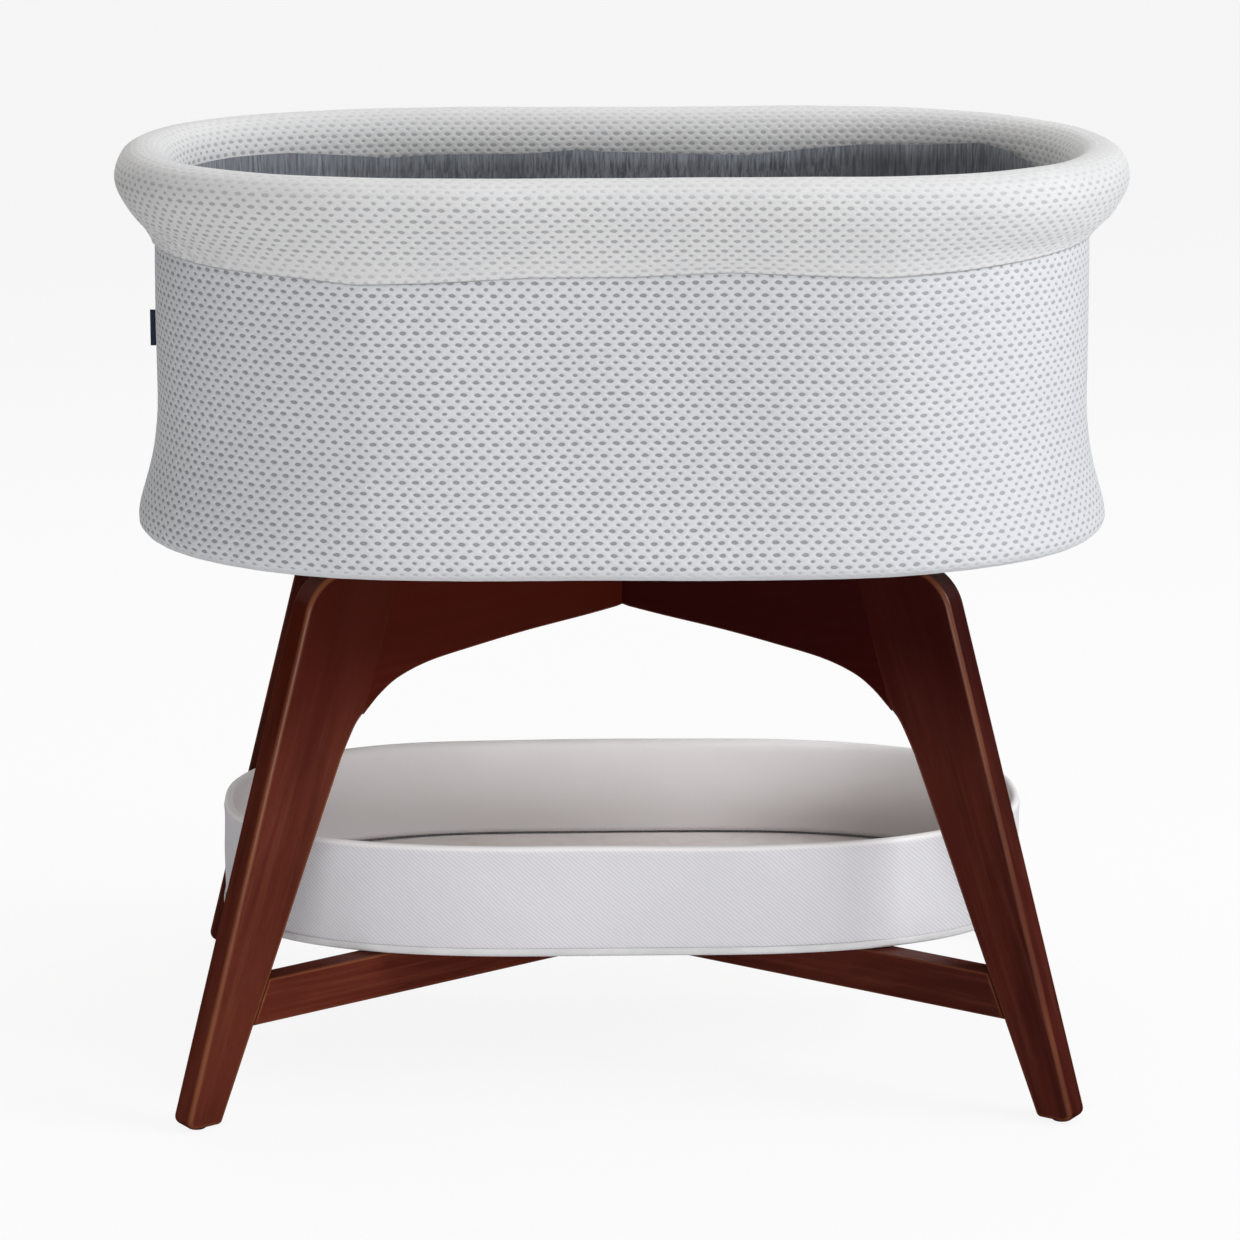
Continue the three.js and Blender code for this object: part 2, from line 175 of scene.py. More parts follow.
def addNode(tree, kind, inputs=(), **settings):
    node = tree.nodes.new(kind)
    for key, value in settings.items():
        setattr(node, key, value)
    for key, value in dict(inputs).items():
        if isinstance(value, bpy.types.NodeSocket):
            tree.links.new(value, node.inputs[key])
        else:
            node.inputs[key].default_value = value
    return node


def calc(tree, operation, a, b=0.0, c=0.0):
    return addNode(tree, "ShaderNodeMath", {0: a, 1: b, 2: c}, operation=operation).outputs[0]


def times(tree, a, b):
    return calc(tree, "MULTIPLY", a, b)


# How far a repeating value is from the middle of its cell, 0 to a half.
def fromMiddle(tree, value):
    return calc(tree, "ABSOLUTE", calc(tree, "SUBTRACT", calc(tree, "FRACT", value), 0.5))


def split(tree, vector):
    return addNode(tree, "ShaderNodeSeparateXYZ", {0: vector}).outputs


# Where a point is on the piece, in metres.
def placeOn(tree):
    return addNode(tree, "ShaderNodeTexCoord").outputs["Object"]


def ramp(tree, value, low, high, to0=0.0, to1=1.0):
    node = addNode(tree, "ShaderNodeMapRange", {"Value": value, "From Min": low, "From Max": high,
                                                "To Min": to0, "To Max": to1}, interpolation_type="SMOOTHSTEP")
    return node.outputs["Result"]


def blendColours(tree, factor, a, b):
    a, b = (c if isinstance(c, bpy.types.NodeSocket) else (*c, 1)[:4] for c in (a, b))
    return addNode(tree, "ShaderNodeMix", {0: factor, 6: a, 7: b}, data_type="RGBA").outputs[2]


# One colour laid over another where a mask is high.
def over(tree, base, mask, strength, colour):
    return blendColours(tree, times(tree, mask, strength), base, colour)


def noiseAt(tree, vector, scale, detail=3.0, roughness=0.5, distortion=0.0):
    return addNode(tree, "ShaderNodeTexNoise", {"Vector": vector, "Scale": scale, "Detail": detail,
                                                "Roughness": roughness, "Distortion": distortion}).outputs["Fac"]


def stretched(tree, vector, scale):
    return addNode(tree, "ShaderNodeMapping", {"Vector": vector, "Scale": scale}).outputs[0]


def addBump(tree, shader, height, distance, strength):
    bump = addNode(tree, "ShaderNodeBump", {"Height": height, "Distance": distance, "Strength": strength})
    tree.links.new(bump.outputs[0], shader.inputs["Normal"])


knit = {
    "cellHigh": 10.9 * mm,  # one large hole and one small hole in each cell
    "large": (0.282, 0.168), "small": (0.185, 0.135),  # half width and half height of a hole, in cells
    "skew": 0.085,  # cells that each row shifts sideways
    "yarn": (0.80, 0.80, 0.805), "cloud": (0.77, 0.772, 0.78), "hole": (0.225, 0.232, 0.25),
    "hemBand": (0.4995, 0.5045),  # heights between which the plain hem turns into holes
    "along": (0.05, 0.42, 1.06, 0.76),  # painted light: from x to x, the holes go from darker to paler, paler towards the brightly lit right end
    "rollFoot": (0.764, 0.784, 0.55, 1.0),  # from height to height, as above, at the foot of the roll
}


# Spacer knit: staggered rows of large and small lens-shaped holes, with puffy yarn between them.
def makeKnit(name, depth=1.0, size=1.0, relief=1.0, fade=None, lightAndShadeTint=(1, 1, 1)):
    material, tree, shader = newMaterial(name, 0.92, Specular_IOR_Level=0.1, Sheen_Weight=0.3, Sheen_Roughness=0.35)
    uv = addNode(tree, "ShaderNodeUVMap").outputs[0]
    place = placeOn(tree)
    drift = addNode(tree, "ShaderNodeTexNoise", {"Vector": place, "Scale": 9.0, "Detail": 2.0}).outputs["Color"]
    drift = split(tree, drift)
    shake = addNode(tree, "ShaderNodeTexNoise", {"Vector": place, "Scale": 210.0, "Detail": 1.0}).outputs["Color"]
    shake = split(tree, shake)
    parts = split(tree, uv)
    u = calc(tree, "MULTIPLY_ADD", drift[0], 0.7, parts[0])
    u = calc(tree, "MULTIPLY_ADD", parts[1], knit["skew"], u)
    u = calc(tree, "MULTIPLY_ADD", shake[0], 0.16, u)
    v = calc(tree, "MULTIPLY_ADD", drift[1], 0.5, parts[1])
    v = calc(tree, "MULTIPLY_ADD", shake[1], 0.10, v)

    # distance from the middle of the nearest hole of one kind, 1 at its edge
    def lens(shift, half):
        across = fromMiddle(tree, calc(tree, "ADD", u, shift))
        up = fromMiddle(tree, calc(tree, "ADD", v, shift))
        across = calc(tree, "POWER", calc(tree, "DIVIDE", across, half[0] * size), 1.7)
        return calc(tree, "ADD", across, calc(tree, "POWER", calc(tree, "DIVIDE", up, half[1] * size), 1.7))

    near = calc(tree, "MINIMUM", lens(0.5, knit["large"]), lens(0.0, knit["small"]))
    hole = ramp(tree, near, 1.45, 0.35)
    middle = ramp(tree, near, 0.5, 0.0)
    dip = ramp(tree, near, 3.6, 0.6)
    strands = noiseAt(tree, stretched(tree, place, (260, 260, 1100)), 1.0, 2.0, 0.6)
    fuzz = noiseAt(tree, place, 1100.0, 2.0, 0.7)
    cloud = noiseAt(tree, place, 9.0, 3.0)
    # painted light and shade: this copy's tint scales the yarn colours
    yarn, shade = (tuple(c * t for c, t in zip(knit[key], lightAndShadeTint)) for key in ("yarn", "cloud"))
    base = blendColours(tree, ramp(tree, cloud, 0.3, 0.7), yarn, shade)
    base = over(tree, base, ramp(tree, strands, 0.62, 0.3), 0.22, (0.52, 0.52, 0.54))
    base = over(tree, base, fuzz, 0.08, (0.4, 0.4, 0.42))
    dark = times(tree, hole, calc(tree, "MULTIPLY_ADD", middle, -0.22 * depth, depth))
    spot = split(tree, place)
    high = spot[2]
    # painted light: the holes turn paler towards the right end, where the light falls strongest
    dark = times(tree, dark, ramp(tree, spot[0], *knit["along"]))
    dark = times(tree, dark, ramp(tree, high, *knit["hemBand"]))
    if fade:  # holes close where the cloth is drawn tight over the crest
        dark = times(tree, dark, ramp(tree, high, fade[1], fade[0], 0.22, 1.0))
        dark = times(tree, dark, ramp(tree, high, *knit["rollFoot"]))
    base = blendColours(tree, dark, base, knit["hole"])
    tree.links.new(base, shader.inputs["Base Color"])
    height = calc(tree, "MULTIPLY_ADD", dip, -1.0, times(tree, strands, 0.25))
    addBump(tree, shader, calc(tree, "MULTIPLY_ADD", fuzz, 0.12, height), 0.9 * mm, 0.42 * relief)
    return material


def makeLiner():
    material, tree, shader = newMaterial("linerJersey", 0.95, Specular_IOR_Level=0.1, Sheen_Weight=0.3)
    place = placeOn(tree)
    slub = noiseAt(tree, stretched(tree, place, (420, 420, 26)), 1.0, 4.0, 0.65)
    cloud = noiseAt(tree, stretched(tree, place, (26, 26, 5)), 1.0, 3.0)
    fleck = noiseAt(tree, place, 1500.0, 2.0, 0.7)
    base = blendColours(tree, ramp(tree, slub, 0.32, 0.68), (0.070, 0.080, 0.098), (0.258, 0.275, 0.305))
    base = over(tree, base, ramp(tree, cloud, 0.35, 0.7), 0.5, (0.11, 0.118, 0.132))
    base = over(tree, base, fleck, 0.25, (0.26, 0.27, 0.29))
    tree.links.new(base, shader.inputs["Base Color"])
    addBump(tree, shader, calc(tree, "ADD", slub, times(tree, fleck, 0.5)), 0.4 * mm, 0.5)
    return material


lacquer = {
    "tones": ((0.062, 0.0098, 0.0048), (0.114, 0.021, 0.0108), (0.20, 0.052, 0.0245)),  # dark, middle, light
    "edgeHighlight": (0.26, 0.085, 0.032),  # painted highlight along the rounded edges
    "kneeShadeBand": (0.29, 0.44, 0.0, 0.85),  # painted shade: from height to height, how much the wood darkens towards the knee under the basin
}


# Stained and lacquered wood with its grain along one direction of the board; painted shade darkens it towards the knee,
# a painted highlight pales its rounded edges, and each board takes its own painted light-and-shade tint.
def makeWood(name, along, normal, lightAndShadeTint, seed, kneeShadeScale=(0.86, 0.6, 0.48)):
    material, tree, shader = newMaterial(name, 0.42, Specular_IOR_Level=0.16, Coat_Weight=0.1, Coat_Roughness=0.12)
    x = Vector(along).normalized()
    y = Vector(normal).normalized()
    z = x.cross(y).normalized()
    turn = Matrix((x, y, z)).to_euler("XYZ")
    place = placeOn(tree)
    shift = (seed, seed * 0.7, seed * 1.3)
    board = addNode(tree, "ShaderNodeMapping", {"Vector": place, "Rotation": turn, "Location": shift}).outputs[0]
    figure = noiseAt(tree, stretched(tree, board, (3.2, 16, 16)), 1.0, 4.0, 0.55, 0.6)
    streak = noiseAt(tree, stretched(tree, board, (6, 170, 170)), 1.0, 5.0, 0.6, 0.25)
    pores = noiseAt(tree, stretched(tree, board, (60, 1500, 1500)), 1.0, 2.0, 0.5)
    cloud = noiseAt(tree, stretched(tree, board, (7, 9, 9)), 1.0, 2.0)
    # painted light and shade: the stain's tones are scaled by this board's tint
    dark, middle, light = (tuple(c * t for c, t in zip(tone, lightAndShadeTint)) for tone in lacquer["tones"])
    base = blendColours(tree, ramp(tree, figure, 0.34, 0.66), dark, middle)
    base = over(tree, base, ramp(tree, streak, 0.42, 0.75), 0.36, light)
    base = over(tree, base, ramp(tree, cloud, 0.35, 0.75), 0.35, middle)
    pore = tuple(c * 0.35 for c in dark)
    base = over(tree, base, ramp(tree, pores, 0.62, 0.72), 0.45, pore)
    high = split(tree, place)[2]
    deep = tuple(c * k for c, k in zip(dark, kneeShadeScale))
    # painted shade: the wood darkens towards the knee, where the basin above shades it
    base = blendColours(tree, ramp(tree, high, *lacquer["kneeShadeBand"]), base, deep)
    # painted highlight: a paler band on each rounded edge, where it catches the light
    arris = addNode(tree, "ShaderNodeAttribute", attribute_name="arris").outputs["Fac"]
    edgeHighlightMask = times(tree, arris, ramp(tree, cloud, 0.3, 0.7, 0.3, 0.75))
    edgeHighlight = tuple(c * (0.5 + 0.5 * t) for c, t in zip(lacquer["edgeHighlight"], lightAndShadeTint))
    base = blendColours(tree, edgeHighlightMask, base, edgeHighlight)
    tree.links.new(base, shader.inputs["Base Color"])
    tree.links.new(ramp(tree, streak, 0.2, 0.8, 0.34, 0.48), shader.inputs["Roughness"])
    height = times(tree, streak, 0.3)
    height = calc(tree, "SUBTRACT", height, times(tree, ramp(tree, pores, 0.6, 0.72), 0.5))
    addBump(tree, shader, height, 0.15 * mm, 0.25)
    return material


twill = {
    "lean": (0.66, 0.75),  # slope of the ribs, round the cloth and up it
    "pick": 1.1 * mm,  # spacing of the cross threads
    "fold": 0.105, "turn": 0.002,  # how far up the cloth its lining side starts, and over what
}


# Twill: fine diagonal ribs; past the folded edge the cloth shows its plain lining side.
def makeTwill(name, yarn, shade, pitch, depth, lining=None):
    material, tree, shader = newMaterial(name, 0.9, Specular_IOR_Level=0.1, Sheen_Weight=0.15)
    uv = addNode(tree, "ShaderNodeUVMap").outputs[0]
    place = placeOn(tree)
    parts = split(tree, uv)
    drift = times(tree, noiseAt(tree, place, 24.0, 2.0), 4.5 * mm)
    leanRound, leanUp = twill["lean"]
    slope = calc(tree, "MULTIPLY_ADD", parts[0], leanRound, calc(tree, "MULTIPLY_ADD", parts[1], leanUp, drift))
    rib = fromMiddle(tree, calc(tree, "DIVIDE", slope, pitch))
    pick = fromMiddle(tree, calc(tree, "DIVIDE", parts[0], twill["pick"]))
    valley = times(tree, ramp(tree, rib, 0.24, 0.03), ramp(tree, pick, -0.2, 0.5, 0.65, 1.0))
    fuzz = noiseAt(tree, place, 800.0, 2.0, 0.7)
    cloud = noiseAt(tree, place, 6.0, 3.0)
    if lining:
        plain = ramp(tree, parts[1], twill["fold"] - twill["turn"], twill["fold"] + twill["turn"])
        valley = times(tree, valley, calc(tree, "SUBTRACT", 1.0, plain))
    base = blendColours(tree, ramp(tree, cloud, 0.3, 0.75), yarn, tuple(c * 0.95 for c in yarn))
    # partly painted light: the lining side is made paler to lift the shaded inside
    if lining:
        base = blendColours(tree, plain, base, lining)
    base = over(tree, base, valley, depth, shade)
    base = over(tree, base, fuzz, 0.08, tuple(c * 0.6 for c in yarn))
    tree.links.new(base, shader.inputs["Base Color"])
    height = calc(tree, "SUBTRACT", calc(tree, "MULTIPLY_ADD", pick, 0.25, times(tree, fuzz, 0.2)), valley)
    addBump(tree, shader, height, 0.35 * mm, 0.45)
    return material


quilt = {
    "pitch": 88 * mm, "stitch": 5.5 * mm, "weave": 1.6 * mm,
    "depth": 2.1 * mm, "seam": 5 * mm, "crown": 1.2 * mm,  # dip at a seam, its half width, and the rise between
    "top": 0.618, "ease": 0.004,  # height where quilting starts, and over how much
}


# Mattress ticking: a fine crossed weave, and stitches along the sewn quilt lines.
def makeTicking(name):
    material, tree, shader = newMaterial(name, 0.92, Specular_IOR_Level=0.1, Sheen_Weight=0.2)
    place = placeOn(tree)
    parts = split(tree, place)
    x, y = parts[0], parts[1]
    one = calc(tree, "SINE", times(tree, x, 2 * math.pi / quilt["weave"]))
    two = calc(tree, "SINE", times(tree, y, 2 * math.pi / quilt["weave"]))
    weave = times(tree, one, two)
    seams = []
    for sign in (1, -1):
        line = calc(tree, "DIVIDE", calc(tree, "MULTIPLY_ADD", y, sign, x), quilt["pitch"])
        line = fromMiddle(tree, line)
        along = calc(tree, "FRACT", calc(tree, "DIVIDE", calc(tree, "MULTIPLY_ADD", y, -sign, x), quilt["stitch"]))
        seams.append(times(tree, ramp(tree, line, 0.486, 0.497), ramp(tree, along, 0.72, 0.78, 1.0, 0.2)))
    seam = calc(tree, "MAXIMUM", seams[0], seams[1])
    fuzz = noiseAt(tree, place, 900.0, 2.0, 0.7)
    cloud = noiseAt(tree, place, 7.0, 3.0)
    base = blendColours(tree, ramp(tree, cloud, 0.3, 0.75), (0.82, 0.81, 0.79), (0.77, 0.76, 0.74))
    base = over(tree, base, ramp(tree, weave, -0.2, 0.9), 0.16, (0.6, 0.6, 0.59))
    base = over(tree, base, seam, 0.55, (0.5, 0.5, 0.5))
    tree.links.new(base, shader.inputs["Base Color"])
    height = calc(tree, "MULTIPLY_ADD", fuzz, 0.3, times(tree, seam, -1.0))
    height = calc(tree, "MULTIPLY_ADD", weave, 0.3, height)
    addBump(tree, shader, height, 0.3 * mm, 0.5)
    return material


def makePlain(name, colour, roughness, metal=0.0, grain=400.0, depth=0.1, variation=0.12):
    material, tree, shader = newMaterial(name, roughness, Metallic=metal)
    place = placeOn(tree)
    cloud = noiseAt(tree, place, 25.0, 3.0)
    fine = noiseAt(tree, place, grain, 2.0)
    base = blendColours(tree, ramp(tree, cloud, 0.3, 0.7), colour, tuple(c * (1 - variation) for c in colour))
    tree.links.new(base, shader.inputs["Base Color"])
    addBump(tree, shader, fine, depth * mm, 0.4)
    return material


print("finishes")
# one knit in three copies: their tints are painted light and shade, the wall darker, the inner wall paler
wallKnit = makeKnit("wallKnit", 0.9, lightAndShadeTint=(0.875, 0.888, 0.915))
rimKnit = makeKnit("rimKnit", 0.66, 1.0, 0.6, (0.822, 0.848), (0.935, 0.932, 0.925))
innerKnit = makeKnit("innerKnit", 0.5, 0.9, lightAndShadeTint=(1.04, 1.035, 1.03))
linerJersey = makeLiner()
# the plain lining side (0.97, 0.94, 0.94) is partly its own paler colour, partly painted light that lifts the shaded
# inside of the basket
basketTwill = makeTwill("basketTwill", (0.785, 0.77, 0.805), (0.50, 0.485, 0.51), 3.0 * mm, 0.55, (0.97, 0.94, 0.94))
basketFloor = makeTwill("basketFloor", (0.86, 0.79, 0.765), (0.72, 0.66, 0.63), 1.3 * mm, 0.25)
ticking = makeTicking("mattressTicking")
tape = makePlain("tape", (0.74, 0.735, 0.74), 0.85, grain=1500, depth=0.3)
navyTape = makePlain("navyTape", (0.012, 0.02, 0.05), 0.8, grain=2500, depth=0.3)
zinc = makePlain("zincSteel", (0.55, 0.56, 0.58), 0.32, 1.0)
springWire = makePlain("springWire", (0.45, 0.46, 0.48), 0.28, 1.0)
blackPlastic = makePlain("blackPlastic", (0.018, 0.018, 0.02), 0.5)
whitePlastic = makePlain("whitePlastic", (0.78, 0.78, 0.76), 0.45)
nylon = makePlain("glideNylon", (0.02, 0.018, 0.018), 0.55)
foamMaterial = makePlain("foamSkin", (0.75, 0.72, 0.62), 0.95, grain=900, depth=0.8)
plyBoard = makePlain("plyBoard", (0.42, 0.30, 0.18), 0.6, grain=120, depth=0.2, variation=0.3)
beech = makePlain("beechDowel", (0.50, 0.33, 0.18), 0.6, grain=300, depth=0.2)


stand = {
    "angle": math.radians(34.8), "thick": 28 * mm, "round": 4.6 * mm, "top": 492, "foot": 2.2,
    "footOuter": 492, "outerSlope": 0.297, "footInner": 455, "innerSlope": 0.42,
    "footRound": 8, "footInnerRound": 5, "shoulder": 45,
    "aim": 60,  # height of a second point on each leg edge, for its direction
    # painted light and shade: each board's copy of the one stain is tinted lighter or darker by how the light falls on
    # it
    "lightAndShadeTints": {"leg_front_left": (1, 1, 1), "leg_back_right": (0.8, 0.7, 0.7), "leg_front_right": (0.70, 0.55, 0.62),
              "leg_back_left": (0.7, 0.6, 0.6), "top_rail_a": (1.08, 0.70, 0.34), "top_rail_b": (0.44, 0.06, 0.02),
              "lower_rail_a": (1.2, 1.1, 1.05), "lower_rail_b": (0.8, 0.75, 0.85)},
    "kneeShade": {"leg_front_left": (0.95, 0.56, 0.38), "leg_back_right": (0.8, 0.5, 0.4),
                  "leg_front_right": (0.62, 0.16, 0.10), "leg_back_left": (0.8, 0.5, 0.4)},
    "joint": ((297.4, 357), (256, 492)), "lap": 457.5,
    "notch": 9.7, "notchLow": 417.2, "clear": 11,  # half width and foot of the lap, and where the knee line starts
    "under": ((0, 417.5), (50, 413), (118, 408), (175, 402), (225, 395.5), (258, 386), (277, 375),
              (291, 363), (303, 351), (311, 338), (321.4, 318)),
}
rail = {"thick": 24 * mm, "low": 87, "high": 128, "round": 2.4 * mm, "lap": 107.5, "notch": 8, "gap": 0.4}


def innerEdge(z):
    return stand["footInner"] - stand["innerSlope"] * z


def outerEdge(z):
    return stand["footOuter"] - stand["outerSlope"] * z


# Arc that rounds a corner between two neighbours.
def roundCorner(corner, before, after, radius, count):
    corner, before, after = (np.array(p, float) for p in (corner, before, after))
    u = (before - corner) / np.linalg.norm(before - corner)
    v = (after - corner) / np.linalg.norm(after - corner)
    half = math.acos(np.clip(u @ v, -1, 1)) / 2
    middle = corner + (u + v) / np.linalg.norm(u + v) * radius / math.sin(half)
    start = corner + u * radius / math.tan(half) - middle
    end = corner + v * radius / math.tan(half) - middle
    a0, a1 = math.atan2(start[1], start[0]), math.atan2(end[1], end[0])
    turn = (a1 - a0 + math.pi) % (2 * math.pi) - math.pi
    a = a0 + turn * np.linspace(0, 1, count)
    return middle + radius * np.stack([np.cos(a), np.sin(a)], 1)


def sideToPlace(r, z, n, angle):
    c, s = math.cos(angle), math.sin(angle)
    return np.stack([r * c - n * s, r * s + n * c, z], -1) * mm


def applyModifiers(piece):
    graph = bpy.context.evaluated_depsgraph_get()
    graph.update()
    made = bpy.data.meshes.new_from_object(piece.evaluated_get(graph))
    piece.modifiers.clear()
    piece.data = made


# Flat board cut to an outline in (r, z), with every rim edge rounded except the glued ones.
def boardMesh(name, outline, glued, angle, thick):
    outline = np.array(outline, float)
    n = len(outline)
    half = thick / mm / 2
    co = np.vstack([sideToPlace(outline[:, 0], outline[:, 1], np.full(n, -half), angle),
                    sideToPlace(outline[:, 0], outline[:, 1], np.full(n, half), angle)])
    k = np.arange(n)
    nextK = (k + 1) % n
    area = 0.5 * np.sum(outline[:, 0] * outline[nextK, 1] - outline[nextK, 0] * outline[:, 1])
    front, back = list(map(int, k)), list(map(int, (k + n)[::-1]))
    sides = np.stack([k, k + n, nextK + n, nextK], 1).tolist()
    faces = [front, back] + sides
    if area < 0:
        faces = [f[::-1] for f in faces]
    mesh = bpy.data.meshes.new(name)
    mesh.from_pydata(co.tolist(), [], faces)
    mesh.update(calc_edges=True)
    edges = np.zeros(len(mesh.edges) * 2, np.int32)
    mesh.edges.foreach_get("vertices", edges)
    edges = edges.reshape(-1, 2)
    a, b = edges.min(1), edges.max(1)
    rim = (a < n) == (b < n)
    first = np.where(rim & ((b - a) == 1), a % n, np.where(rim, n - 1, 0))
    weight = np.where(rim, np.where(np.isin(first, glued), 0.06, 1.0), 0.0)
    mesh.attributes.new("bevel_weight_edge", "FLOAT", "EDGE").data.foreach_set("value", weight.astype(np.float32))
    smoothFaces(mesh)
    return mesh


def addRounding(piece, radius, steps):
    bevel = piece.modifiers.new("rounding", "BEVEL")
    bevel.width = radius
    bevel.segments = steps
    bevel.limit_method = "WEIGHT"
    bevel.harden_normals = True
    bevel.miter_outer = "MITER_ARC"


# Where the painted edge highlight goes: 0 on the flats, 1 halfway round each rounding, from how deep a point lies under
# the broad faces.
def markArris(piece, faceNormal, thick, radius):
    applyModifiers(piece)
    mesh = piece.data
    depth = thick / 2 - np.abs(readPoints(mesh) @ np.array(faceNormal))
    angle = np.arccos(np.clip(1 - depth / radius, -1, 1))
    arris = np.where(depth < radius * 0.999, np.sin(2 * angle), 0).clip(0, 1)
    mesh.attributes.new("arris", "FLOAT", "POINT").data.foreach_set("value", arris.astype(np.float32))


def legOutline():
    jointLow, jointHigh = stand["joint"]
    knee = smoothLine(stand["under"], 200)[0]
    knee = knee[knee[:, 1] < jointLow[1] - 0.5]
    foot, aim = stand["foot"], stand["aim"]
    inner, outer = (innerEdge(foot), foot), (outerEdge(foot), foot)
    shoulder = (outerEdge(stand["top"]), stand["top"])
    parts = [np.array([jointLow]), knee[::2],
             roundCorner(inner, (innerEdge(aim), aim), outer, stand["footInnerRound"], 5),
             roundCorner(outer, inner, (outerEdge(aim), aim), stand["footRound"], 7),
             roundCorner(shoulder, outer, (0, stand["top"]), stand["shoulder"], 16),
             np.array([jointHigh])]
    outline = np.vstack(parts)
    return outline, [len(outline) - 1]


def armOutline(upperLap):
    (r0, z0), (r1, z1) = stand["joint"]
    knee = smoothLine(stand["under"], 200)[0]
    knee = knee[knee[:, 1] >= z0 - 0.5][::3]
    right = np.vstack([knee[knee[:, 0] > stand["clear"]], [(r0, z0)]])
    left = right[::-1] * [-1, 1]
    lap, top, half, low = stand["lap"], stand["top"], stand["notch"], stand["notchLow"]
    if upperLap:
        middleLow = np.array([(-half, low), stand["under"][0], (half, low)])
        middleTop = np.array([(half, top), (half, lap), (-half, lap), (-half, top)])
    else:
        middleLow = np.array([(-half, low), (-half, lap), (half, lap), (half, low)])
        middleTop = np.array([(0, top)])
    outline = np.vstack([left, middleLow, right, [(r1, z1)], middleTop, [(-r1, z1)]])
    k = len(left) + len(middleLow) + len(right)
    glued = [k - 1, len(outline) - 1]
    return outline, glued


def railOutline(upperLap):
    lap, low, high, half = rail["lap"], rail["low"], rail["high"], rail["notch"]
    e0, e1 = innerEdge(low) - rail["gap"], innerEdge(high) - rail["gap"]
    if upperLap:
        notch = [(half, high), (half, lap), (-half, lap), (-half, high)]
        return [(-e0, low), (e0, low), (e1, high), *notch, (-e1, high)]
    return [(-e0, low), (-half, low), (-half, lap), (half, lap), (half, low), (e0, low), (e1, high), (-e1, high)]


def grainOf(r, z, angle):
    return (r * math.cos(angle), r * math.sin(angle), z)


# One board of the stand: cut to its outline, its edges rounded and then marked for the painted edge highlight.
def addBoard(name, outline, glued, angle, part, wood, steps=4):
    mesh = boardMesh(name, outline, glued, angle, part["thick"])
    board = addPiece(name + "_board", mesh, "stand_and_basin", wood, [name])
    addRounding(board, part["round"], steps)
    markArris(board, faceOf(angle), part["thick"], part["round"])


def faceOf(angle):
    return (-math.sin(angle), math.cos(angle), 0)


print("stand")
diagonals = (
    ("a", stand["angle"], (("leg_front_left", -1), ("leg_back_right", 1)), False),
    ("b", -stand["angle"], (("leg_front_right", 1), ("leg_back_left", -1)), True),
)
for key, angle, legs, upperLap in diagonals:
    for k, (name, sign) in enumerate(legs):
        outline, glued = legOutline()
        wood = makeWood(name + "_wood", grainOf(sign * -0.36, 1, angle), faceOf(angle), stand["lightAndShadeTints"][name],
                        1.7 * k + 3 * angle, stand["kneeShade"][name])
        addBoard(name, outline * [sign, 1], glued, angle, stand, wood)
    name = f"top_rail_{key}"
    outline, glued = armOutline(upperLap)
    wood = makeWood(name + "_wood", grainOf(1, 0.08, angle), faceOf(angle), stand["lightAndShadeTints"][name], 5.3 + angle)
    addBoard(name, outline, glued, angle, stand, wood)
    name = f"lower_rail_{key}"
    wood = makeWood(name + "_wood", grainOf(1, 0, angle), faceOf(angle), stand["lightAndShadeTints"][name], 8.1 + angle)
    addBoard(name, railOutline(upperLap), [], angle, rail, wood, 3)


basinPlan = {"straight": 120 * mm, "a": 426.3 * mm, "b": 238 * mm, "power": 2.3}
cover = {
    "wallRows": 100, "rimRows": 84,
    "columns": 190, "perColumn": 4,  # hole columns round the basin
    "post": 232 * mm, "flat": 8 * mm,  # the cover runs straight between the wall posts
    "wall": ((-3, 495.4), (1, 494.2), (8, 494.4), (14, 497), (18, 502), (19.4, 509), (17.4, 521), (12.6, 538),
             (8.6, 553), (5, 570), (2.6, 588), (0.8, 610), (0.2, 650), (0, 700), (-0.2, 745), (-1.0, 772)),
    "wallSide": ((-3, 495.4), (1, 494.2), (8, 494.4), (14, 497), (18, 501.8), (19.1, 508.5), (18, 517), (15.2, 528),
                 (12, 541), (8.6, 555), (5.2, 571), (2.8, 589), (1, 611), (0.3, 650), (0, 700), (-0.2, 745),
                 (-1.0, 772)),
    "rimEnd": ((1.0, 757), (3.6, 765), (9.4, 776), (16.5, 785), (22.7, 793), (30, 806), (33.6, 818), (32.6, 829),
               (28, 839), (20.5, 845), (11, 847.8), (1.5, 847.3), (-7.5, 843), (-14.5, 834.5), (-17.6, 822), (-18, 806),
               (-20, 794)),
    "rimSide": ((1.0, 757), (3.2, 765), (6.6, 776), (9.8, 785), (12.8, 793), (18.2, 806), (22.4, 818), (23.2, 829),
                (20.4, 839), (14.4, 845), (6, 847.8), (-3, 847), (-13, 842.5), (-21, 833.5), (-25, 821), (-24.6, 806),
                (-22, 794)),
    "skin": 1.3,
    "sideEnd": 180, "turnOver": 210,  # x where a long side starts to turn, and over how much
}
cols = cover["columns"] * cover["perColumn"]
baseX, baseY, pushX, pushY = planOutline(basinPlan, cols)[:4]
across = np.arange(cols + 1) / cover["perColumn"]


# Point round the basin at an offset and height; the long sides are drawn flat between the posts.
def basinPoint(offset, z, flatten=1.0):
    x = baseX + offset * mm * pushX
    y = baseY + offset * mm * pushY
    dent = np.clip(1 - (np.abs(x) / cover["post"]) ** 2.2, 0, 1) * cover["flat"] * flatten
    return np.stack([x, y - np.sign(y) * dent, np.broadcast_to(z * mm, x.shape)], -1)


# Hem height round the basin: the sewn edge wanders a few millimetres up and down.
def hemHeight(x, y):
    front = np.interp(x / mm, (-415, -365, -285, -240, -178, -85, 0, 87, 221, 290, 358, 410),
                      (764, 761, 759, 755.5, 757.5, 762, 762, 766, 760.5, 763, 767, 771))
    back = 762 + 3 * np.sin(x / mm / 70)
    return np.where(y < 0, front, back)


